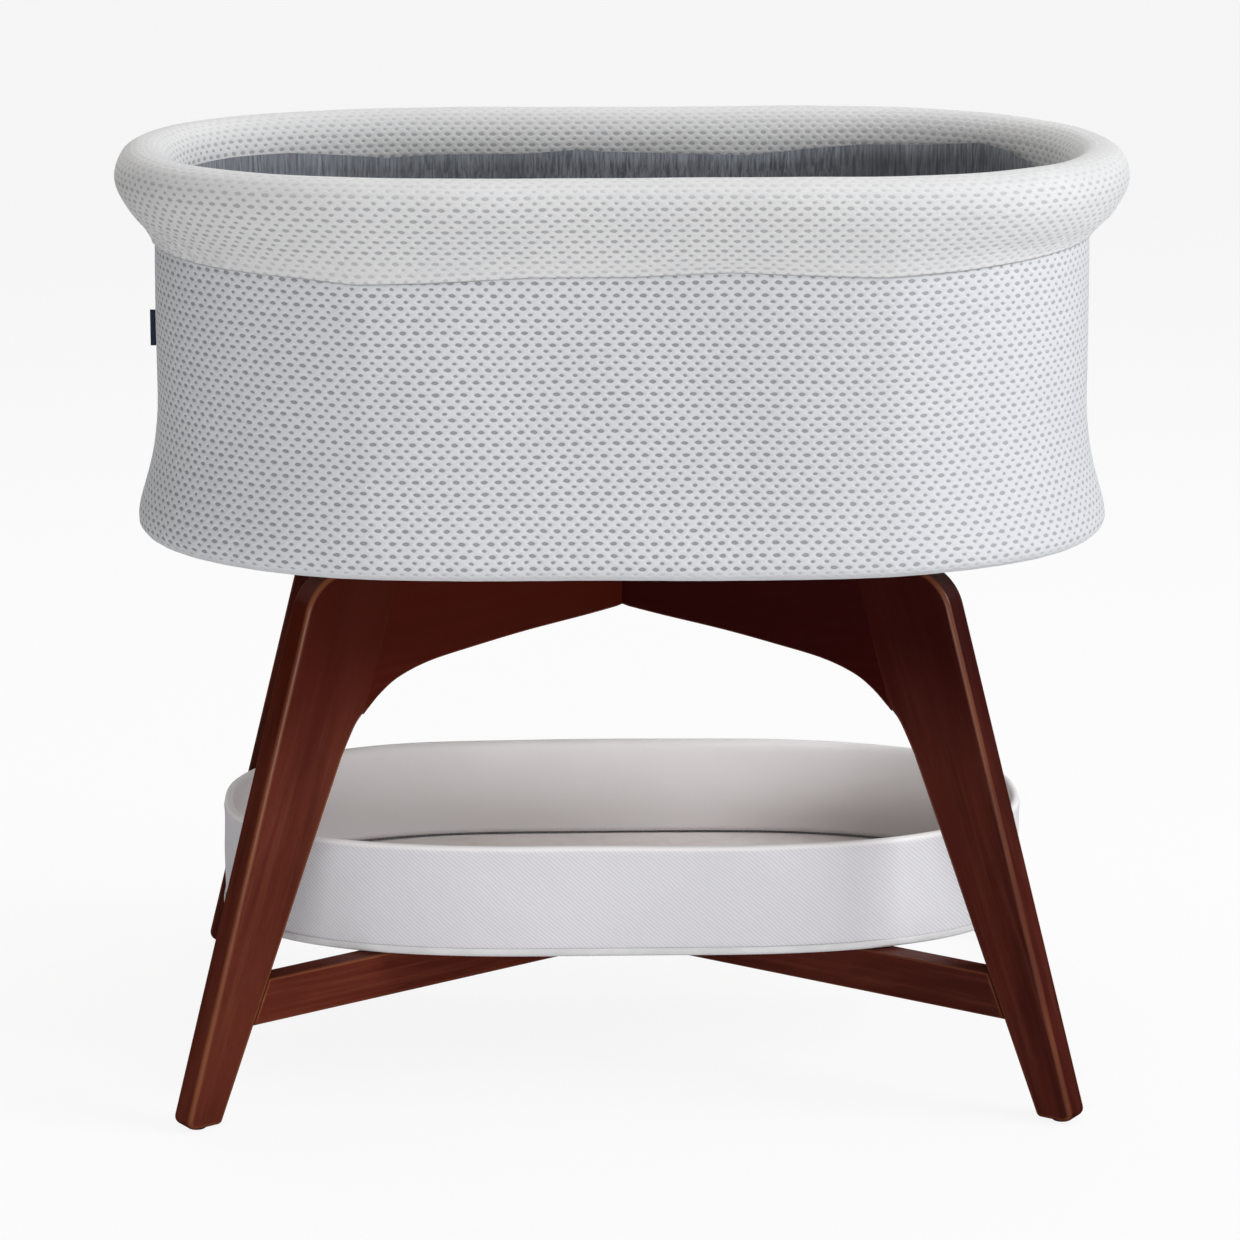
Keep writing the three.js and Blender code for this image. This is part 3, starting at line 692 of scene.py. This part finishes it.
# Cover cloth as a closed loop of rows: up the outside, back down the inside, one skin apart.
# The line at the long sides may differ from the one at the ends; each column takes its share of both.
def coverGrid(endLine, sideLine, rows, flattenAt, backRows=14):
    towardEnd = np.clip((np.abs(baseX) / mm - cover["sideEnd"]) / cover["turnOver"], 0, 1)
    towardEnd = towardEnd * towardEnd * (3 - 2 * towardEnd)
    grids = []
    for line in (endLine, sideLine):
        outer, run = smoothLine(line, rows)
        profile = np.vstack([outer, innerLine(outer, cover["skin"])[::-1][:: max(rows // backRows, 1)]])
        grids.append(np.stack([basinPoint(o, z, flattenAt(z)) for o, z in profile]))
        if line is endLine:
            endProfile, endRun = profile, run
    grid = grids[0] * towardEnd[None, :, None] + grids[1] * (1 - towardEnd[None, :, None])
    back = np.interp(np.linspace(1, 0, len(endProfile) - rows), [0, 1], [0, endRun[-1]])
    up = np.concatenate([endRun, back, endRun[:1]]) / knit["cellHigh"] * mm
    return grid, up, endProfile


# Soft waves in the padding between the rows of holes.
def quilting(grid, up, outerRows, depth):
    u = across[:-1][None, :] + knit["skew"] * up[:outerRows][:, None]
    v = up[:outerRows][:, None]
    push = depth * mm * 0.5 * (np.cos(2 * np.pi * (u + v)) + np.cos(2 * np.pi * (u - v)))
    side = np.stack([pushX, pushY], -1) / np.hypot(pushX, pushY)[:, None]
    grid[:outerRows, :, :2] -= push[..., None] * side[None]
    return grid


def wallMoves(grid, profile):
    z = profile[:, 1][:, None]
    s = np.arange(cols)[None, :] / cols
    slack = np.clip((z - 495) / 60, 0, 1) * np.clip((775 - z) / 60, 0, 1)
    push = (0.9 * wander(s * 9, z / 260, 3) * slack
            + 0.8 * wander(s * 22, z / 500, 5) * np.clip((560 - z) / 60, 0, 1)) * mm
    grid[..., 0] += push * pushX
    grid[..., 1] += push * pushY
    grid[..., 2] += 1.3 * mm * wander(s * 6, 0 * z, 8) * np.clip((530 - z) / 36, 0, 1)
    return grid


def rimMoves(grid, profile):
    z = profile[:, 1][:, None]
    offset = profile[:, 0][:, None]
    hem = hemHeight(grid[..., 0], grid[..., 1])
    low = np.clip((790 - z) / 33, 0, 1) * (offset > -10)
    grid[..., 2] += (hem - 759) * mm * low**1.5
    s = np.arange(cols)[None, :] / cols
    endward = np.clip((np.abs(baseX) / mm - 300) / 100, 0, 1)[None, :]
    pleat = np.sin(s * 2 * np.pi * 118) * 0.75 * endward * np.clip((806 - z) / 30, 0, 1) * (offset > -4)
    soft = 1.1 * wander(s * 7, z / 90, 11) * np.clip((z - 760) / 40, 0, 1)
    push = (soft + pleat) * mm
    grid[..., 0] += push * pushX
    grid[..., 1] += push * pushY
    grid[..., 2] += 1.0 * mm * wander(s * 5, 0 * z, 14) * np.clip((z - 800) / 40, 0, 1)
    return grid


print("basin covers")
wallGrid, wallUp, wallProfile = coverGrid(cover["wall"], cover["wallSide"], cover["wallRows"],
                                          lambda z: np.clip(0.35 + (z - 500) / 90, 0.35, 1))
wallGrid = quilting(wallMoves(wallGrid, wallProfile), wallUp, cover["wallRows"], 0.16)
wallPiece = addPiece("wall_cover", surfaceMesh("wallCover", wallGrid, (across, wallUp)), "stand_and_basin", wallKnit,
                     ["outer_wall_cover"])
rimGrid, rimUp, rimProfile = coverGrid(cover["rimEnd"], cover["rimSide"], cover["rimRows"],
                                       lambda z: np.clip(1 - (z - 757) / 120, 0.35, 1))
rimGrid = quilting(rimMoves(rimGrid, rimProfile), rimUp, cover["rimRows"], 0.12)
rimPiece = addPiece("rim_roll_cover", surfaceMesh("rimCover", rimGrid, (across, rimUp)), "stand_and_basin", rimKnit,
                    ["rim_cover"])

# foam ring inside the rim cover: the cover's own outline, closed under the roll and shrunk by its skin
foam = {"rows": 26, "every": 2, "first": 14, "share": 0.9}
foamGrid = rimGrid[foam["first"]:][:: foam["every"]][: foam["rows"]].copy()
foamCentre = foamGrid.mean(0)
foamGrid = foamCentre + (foamGrid - foamCentre) * foam["share"]
foamPiece = addPiece("rim_roll_foam", surfaceMesh("rimFoam", foamGrid[:, ::2]), "stand_and_basin", foamMaterial,
                     ["rim_foam"])


lining = {
    "rows": 60,
    "end": ((-23.4, 597), (-23.4, 700), (-22.2, 780), (-20.6, 798), (-20.4, 806), (-20.2, 811)),
    "side": ((-23.4, 597), (-23.4, 700), (-23.6, 780), (-26.2, 798), (-27.4, 806), (-27.0, 811)),
}


# Edge of the lining: it rides up and down on the roll in slow waves.
def linerEdge(x, y):
    back = np.interp(x / mm, (-366, -309, -254, -220, -172, -89, -34, -11, 126, 192, 232, 292, 345, 368, 388),
                     (815, 813, 807.5, 804, 806.5, 807, 811, 809, 805, 812, 816, 818, 824, 819, 809))
    front = 811 + 4 * np.sin(x / mm / 55) + 2 * np.sin(x / mm / 23 + 1)
    blend = np.clip(y / mm / 40 + 0.5, 0, 1)
    return front * (1 - blend) + back * blend


def liningGrid():
    grid, up, profile = coverGrid(lining["end"], lining["side"], lining["rows"], lambda z: 0.5, 15)
    z = profile[:, 1][:, None]
    s = np.arange(cols)[None, :] / cols
    edge = linerEdge(grid[..., 0], grid[..., 1])
    grid[..., 2] += (edge - 811) * mm * np.clip((z - 740) / 71, 0, 1)
    push = (0.9 * wander(s * 13, z / 160, 21) * np.clip((800 - z) / 60, 0.3, 1)
            + 0.35 * np.sin(s * 2 * np.pi * 61) * np.clip((z - 780) / 30, 0, 1)) * mm
    grid[..., 0] += push * pushX
    grid[..., 1] += push * pushY
    return grid


print("well lining")
linerPiece = addPiece("well_lining", surfaceMesh("lining", liningGrid()), "stand_and_basin", linerJersey,
                      ["well_liner"])

# outer shell, folded hem and floor cloth of the storage basket
basketPlan = {"straight": 70 * mm, "a": 373 * mm, "b": 186 * mm, "power": 2.4}
basket = {
    "columns": 480,
    "wall": ((-6, 129.2), (-2.6, 129.0), (-0.6, 130.6), (0.2, 134), (0.5, 150), (0.4, 190), (0.6, 218), (1.2, 226),
             (0.4, 230.6), (-2, 232.8), (-5, 233), (-7.4, 231), (-8.4, 227), (-7.8, 219), (-6.2, 208), (-5.4, 190),
             (-5.2, 150), (-5.4, 139.5)),
    "piping": ((1.0, 131.0), (2.0, 131.4), (2.6, 133), (2.7, 135), (2.3, 137), (1.3, 137.8)),
}
basketX, basketY, basketPushX, basketPushY, basketGirth = planOutline(basketPlan, basket["columns"])


def basketPoint(offset, z):
    return np.stack([basketX + offset * mm * basketPushX, basketY + offset * mm * basketPushY,
                     np.broadcast_to(z * mm, basketX.shape)], -1)


def basketPiece(name, line, rows, thick, material, replaced, sag=1.0):
    outer, run = smoothLine(line, rows)
    profile = np.vstack([outer, innerLine(outer, thick)[::-1]])
    grid = np.stack([basketPoint(o, z) for o, z in profile])
    z = profile[:, 1][:, None]
    s = np.arange(basket["columns"])[None, :] / basket["columns"]
    push = sag * (0.9 * wander(s * 6, z / 150, 31) * np.clip((z - 132) / 40, 0, 1)) * mm
    grid[..., 0] += push * basketPushX
    grid[..., 1] += push * basketPushY
    grid[..., 2] += sag * 1.2 * mm * wander(s * 4, 0 * z, 33) * np.clip((z - 200) / 30, 0, 1)
    up = np.concatenate([run, run[::-1], run[:1]]) * mm
    around = np.arange(basket["columns"] + 1) / basket["columns"] * basketGirth
    return addPiece(name, surfaceMesh(name, grid, (around, up)), "basket", material, replaced)


# Cloth over the floor board: rings that shrink to the middle, with a soft rise and a few wrinkles.
def floorGrid():
    ring = np.concatenate([np.full(3, 0.984), np.linspace(0.984, 0.03, 40)])
    rise = np.interp(np.linspace(0, 1, 40), [0, 0.06, 0.3, 1], [137.0, 137.5, 137.8, 137.6])
    lift = np.concatenate([[129.9, 131.6, 133.6], rise])
    x = basketX[None] * ring[:, None]
    y = basketY[None] * ring[:, None]
    z = lift[:, None] + 0.9 * wander(x / 0.16, y / 0.10, 41) * np.clip((1 - ring[:, None]) * 12, 0, 1)
    return np.stack([x, y, z * mm], -1)


print("storage basket")
shellPiece = basketPiece("basket_cloth", basket["wall"], 46, 1.0, basketTwill,
                         ["basket_shell", "basket_hem"])
hemPiece = basketPiece("basket_piping", basket["piping"], 12, 0.9, tape, ["basket_binding"], 0.0)
addPiece("basket_floor_cloth", surfaceMesh("floorCloth", floorGrid(), closeRows=False), "basket", basketFloor,
         ["basket_board"])


# knit wall between the posts and the lining
print("inner wall and label")
innerLineRows = 40
innerOuter, innerRun = smoothLine(((-21.1, 601), (-21.1, 700), (-21.1, 793)), innerLineRows)
innerProfile = np.vstack([innerOuter, innerLine(innerOuter, 1.2)[::-4]])
innerGrid = np.stack([basinPoint(o, z, 0.4) for o, z in innerProfile])
innerUp = np.concatenate([innerRun, np.linspace(innerRun[-1], 0, len(innerProfile) - innerLineRows), innerRun[:1]])
innerMesh = surfaceMesh("innerWall", innerGrid, (across, innerUp / knit["cellHigh"] * mm))
innerPiece = addPiece("inner_wall_cloth", innerMesh, "stand_and_basin", innerKnit, ["inner_mesh_wall"])

# Blank woven label: one strip folded in half, its fold pointing away from the wall.
label = {"root": -425.5, "tip": -432.2, "y": -8, "low": 662, "high": 695, "cloth": 0.5, "gap": 0.35}


def labelGrid():
    fold = np.linspace(-np.pi / 2, np.pi / 2, 9)
    reach, bend = label["root"], label["gap"] / 2 + label["cloth"]
    loop = []
    for radius in (bend, label["gap"] / 2):
        arc = np.stack([label["tip"] + bend - radius * np.cos(fold), label["y"] + radius * np.sin(fold)], 1)
        line = np.vstack([[(reach, label["y"] - radius)], arc, [(reach, label["y"] + radius)]])
        loop.append(line if radius == bend else line[::-1])
    loop = np.vstack(loop)
    z = np.linspace(label["low"], label["high"], 12)
    lean = 0.5 * np.sin(z / 9)[:, None] * ((reach - loop[:, 0]) / 7)[None]
    return np.stack([np.broadcast_to(loop[:, 0], lean.shape), loop[:, 1] + lean,
                     np.broadcast_to(z[:, None], lean.shape)], -1) * mm


labelPiece = addPiece("label_loop", surfaceMesh("label", labelGrid(), closeRows=False), "stand_and_basin", navyTape,
                      ["label_tag"])


# Mattress: a slab with rounded edges that follows the basin, then blown up as cloth so that it crowns.
mattress = {
    "inset": -33, "columns": 300, "voxel": 6 * mm, "pressure": 4.0, "reach": 3.2 * mm, "frames": 20,
    "side": ((-9, 588.2), (-3.5, 588.8), (-0.8, 591.5), (0, 596), (0.3, 605), (0, 615), (-1, 619.5), (-4, 622.4),
             (-9, 623.4)),
}


def mattressGrid():
    x, y, px, py = planOutline(basinPlan, mattress["columns"])[:4]
    side = smoothLine(mattress["side"], 18)[0]
    inner = np.linspace(1, 0.02, 26)[1:]
    rings = []
    for low in (True, False):
        edge = side[0] if low else side[-1]
        out = (mattress["inset"] + edge[0]) * mm
        flat = [np.stack([(x + out * px) * k, (y + out * py) * k, np.full(len(x), edge[1] * mm)], -1) for k in inner]
        rings.append(np.stack(flat[::-1] if low else flat))
    wall = np.stack([np.stack([x + (mattress["inset"] + o) * mm * px, y + (mattress["inset"] + o) * mm * py,
                               np.full(len(x), z * mm)], -1) for o, z in side])
    return np.vstack([rings[0], wall, rings[1]])


# Blow a closed mesh up as cloth: even faces first, then pressure, and no point moves further than its reach.
def inflate(piece, voxel, pressure, reach, frames):
    remesh = piece.modifiers.new("evenFaces", "REMESH")
    remesh.mode = "VOXEL"
    remesh.voxel_size = voxel
    applyModifiers(piece)
    before = readPoints(piece.data)
    cloth = piece.modifiers.new("filling", "CLOTH")
    cloth.settings.use_pressure = True
    cloth.settings.uniform_pressure_force = pressure
    cloth.settings.effector_weights.gravity = 0
    cloth.point_cache.frame_end = frames
    for frameNumber in range(1, frames + 1):
        bpy.context.scene.frame_set(frameNumber)
    applyModifiers(piece)
    move = readPoints(piece.data) - before
    far = np.linalg.norm(move, axis=1)[:, None]
    move *= np.minimum(1, reach / np.maximum(far, 1e-9))
    piece.data.vertices.foreach_set("co", (before + move).ravel())
    bpy.context.scene.frame_set(1)
    smoothFaces(piece.data)


print("mattress")
padMaker = bpy.data.objects.new("mattress_pad", surfaceMesh("pad", mattressGrid(), closeRows=False))
bpy.context.scene.collection.objects.link(padMaker)
inflate(padMaker, mattress["voxel"], mattress["pressure"], mattress["reach"], mattress["frames"])
finer = padMaker.modifiers.new("finer", "SUBSURF")
finer.levels = finer.render_levels = 1
applyModifiers(padMaker)
padMesh = padMaker.data
points = readPoints(padMesh)
# quilt lines run both ways at 45 degrees: the cloth dips along them and crowns between them
dip = np.zeros(len(points))
for sign in (1, -1):
    line = (points[:, 0] + sign * points[:, 1]) / quilt["pitch"]
    dip = np.maximum(dip, np.exp(-((np.abs(line % 1 - 0.5) - 0.5) * quilt["pitch"] / quilt["seam"]) ** 2))
onTop = np.clip((points[:, 2] - quilt["top"]) / quilt["ease"], 0, 1)
points[:, 2] += onTop * (quilt["crown"] - quilt["depth"] * dip)
padMesh.vertices.foreach_set("co", points.ravel())
smoothFaces(padMesh)
bpy.data.objects.remove(padMaker)
mattressPiece = addPiece("mattress_pad", padMesh, "mattress", ticking, ["mattress"])

piping = {"sides": 10, "points": 500, "out": 1.0, "radius": 2.1, "top": 619.5, "bottom": 592.5}


# Sewn piping: a round cord of cloth carried round the mattress along its upper or lower seam.
def pipingGrid(offset, z, radius):
    x, y, px, py = planOutline(basinPlan, piping["points"])[:4]
    turn = np.linspace(0, 2 * np.pi, piping["sides"], endpoint=False)[:, None]
    out = (offset + radius * np.cos(turn)) * mm
    high = np.broadcast_to((z + radius * np.sin(turn)) * mm, (piping["sides"], piping["points"]))
    return np.stack([x + out * px, y + out * py, high], -1)


for seam in ("top", "bottom"):
    name = "mattress_piping_" + seam
    grid = pipingGrid(mattress["inset"] + piping["out"], piping[seam], piping["radius"])
    addPiece(name, surfaceMesh(name, grid), "mattress", tape)


def coat(node, material):
    node.data.materials.clear()
    node.data.materials.append(material)


bare = (
    (zinc, ("rim_tube", "deck_yoke", "crank", "basket_wire", "guide_pin_left", "guide_pin_right", "top_lap_screw",
            "lower_lap_screw")),
    (whitePlastic, ("base_pan", "lift_link", "guide_tube_left", "guide_tube_right")),
    (blackPlastic, ("gear_housing", "control_box", "speaker", "power_inlet")),
    (plyBoard, ("deck",)),
)
for material, names in bare:
    for name in names:
        coat(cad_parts[name], material)
for name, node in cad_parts.items():
    for start, material in (("basin_bolt", zinc), ("wall_post", zinc), ("knee_dowel", beech), ("foot_glide", nylon)):
        if name.startswith(start):
            coat(node, material)

# The springs close up as the deck comes down; here each coil is only copied into place with its doubled points merged,
# and rides on no body.
for name in [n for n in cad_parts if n.startswith("deck_spring")]:
    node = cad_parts[name]
    coil = node.data.copy()
    coil.transform(node.matrix_world)
    joined = bmesh.new()
    joined.from_mesh(coil)
    bmesh.ops.remove_doubles(joined, verts=joined.verts, dist=0.01 * mm)
    joined.to_mesh(coil)
    joined.free()
    spring = addPiece(name + "_coil", coil, None, springWire, [name])
    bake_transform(spring)
studio = {
    "paper": 0.74, "shown": 0.1, "glow": 0.885, "air": 0.23,
    "front": -12, "end": 13, "wide": 12, "bendAt": 6.5, "bend": 2, "rows": 60, "columns": 41,
}


def addLight(name, position, target, size, power, colour=(1, 1, 1)):
    data = bpy.data.lights.new(name, "AREA")
    data.shape = "RECTANGLE"
    data.size, data.size_y = size
    data.energy = power
    data.color = colour
    light = bpy.data.objects.new(name, data)
    light.location = position
    light.rotation_euler = (Vector(target) - Vector(position)).to_track_quat("-Z", "Y").to_euler()
    bpy.context.scene.collection.objects.link(light)


# Floor that bends up into a wall by a quarter circle, whose length is half of pi times its radius.
print("studio")
bendAt, bend, columns = studio["bendAt"], studio["bend"], studio["columns"]
run = np.linspace(studio["front"], studio["end"], studio["rows"])
turn = np.clip((run - bendAt) / bend, 0, np.pi / 2)
paperY = np.minimum(run, bendAt) + bend * np.sin(turn)
paperZ = bend * (1 - np.cos(turn)) + np.clip(run - bendAt - bend * np.pi / 2, 0, None)
paperX = np.linspace(-studio["wide"], studio["wide"], columns)
points = np.stack(np.broadcast_arrays(paperX[None], paperY[:, None], paperZ[:, None]), -1)
corner = np.arange(studio["rows"] - 1)[:, None] * columns + np.arange(columns - 1)[None]
faces = np.stack([corner, corner + 1, corner + columns + 1, corner + columns], -1).reshape(-1, 4)
paperMesh = bpy.data.meshes.new("backdrop")
paperMesh.from_pydata(points.reshape(-1, 3).tolist(), [], faces.tolist())
smoothFaces(paperMesh)
backdrop = bpy.data.objects.new("backdrop", paperMesh)
bpy.context.scene.collection.objects.link(backdrop)
paper, paperTree, paperShader = newMaterial("backdropPaper", 1.0, Specular_IOR_Level=0.0)
paperShader.inputs["Base Color"].default_value = (studio["paper"],) * 3 + (1,)
seen = addNode(paperTree, "ShaderNodeLightPath").outputs["Is Camera Ray"]
paperShader.inputs["Emission Color"].default_value = (1, 1, 1, 1)
paperTree.links.new(times(paperTree, seen, studio["glow"]), paperShader.inputs["Emission Strength"])
paperColour = blendColours(paperTree, seen, (studio["paper"],) * 3, (studio["shown"],) * 3)
paperTree.links.new(paperColour, paperShader.inputs["Base Color"])
paperMesh.materials.append(paper)
backdrop.visible_glossy = False

world = bpy.data.worlds.new("studioAir")
world.use_nodes = True
world.node_tree.nodes["Background"].inputs[0].default_value = (1, 0.965, 0.925, 1)
world.node_tree.nodes["Background"].inputs[1].default_value = studio["air"]
world.cycles_visibility.glossy = False
bpy.context.scene.world = world
bpy.context.scene.view_settings.view_transform = "Standard"

addLight("window", (5.0, -1.5, 3.2), (0, 0, 0.65), (2.6, 2.6), 222, (0.96, 0.98, 1.0))
addLight("front", (0.9, -4.5, 3.0), (0, 0, 0.4), (2.6, 1.6), 6, (0.94, 0.97, 1.0))
addLight("low", (-0.5, -4.6, 0.75), (0, 0, 0.3), (3.2, 0.9), 84, (0.98, 0.985, 1.0))
addLight("above", (0, 0.1, 3.4), (0, 0, 0.6), (1.8, 1.6), 26)
addLight("behind", (-0.4, 2.5, 3.0), (0, 0, 0.8), (2.6, 0.8), 30)

view = {"azimuth": math.radians(-1.7), "elevation": math.radians(13.86), "roll": math.radians(0.06),
        "distance": 4.204, "target": (-0.0018, 0, 0.3982), "lens": 130.65}
a, e = view["azimuth"], view["elevation"]
back = Vector((math.sin(a) * math.cos(e), -math.cos(a) * math.cos(e), math.sin(e)))
camera = bpy.data.objects.new("camera", bpy.data.cameras.new("camera"))
camera.data.lens = view["lens"]
camera.data.sensor_width = 36
camera.location = Vector(view["target"]) + back * view["distance"]
camera.rotation_euler = (back.to_track_quat("Z", "Y").to_matrix() @ Matrix.Rotation(view["roll"], 3, "Z")).to_euler()
bpy.context.scene.collection.objects.link(camera)
bpy.context.scene.camera = camera
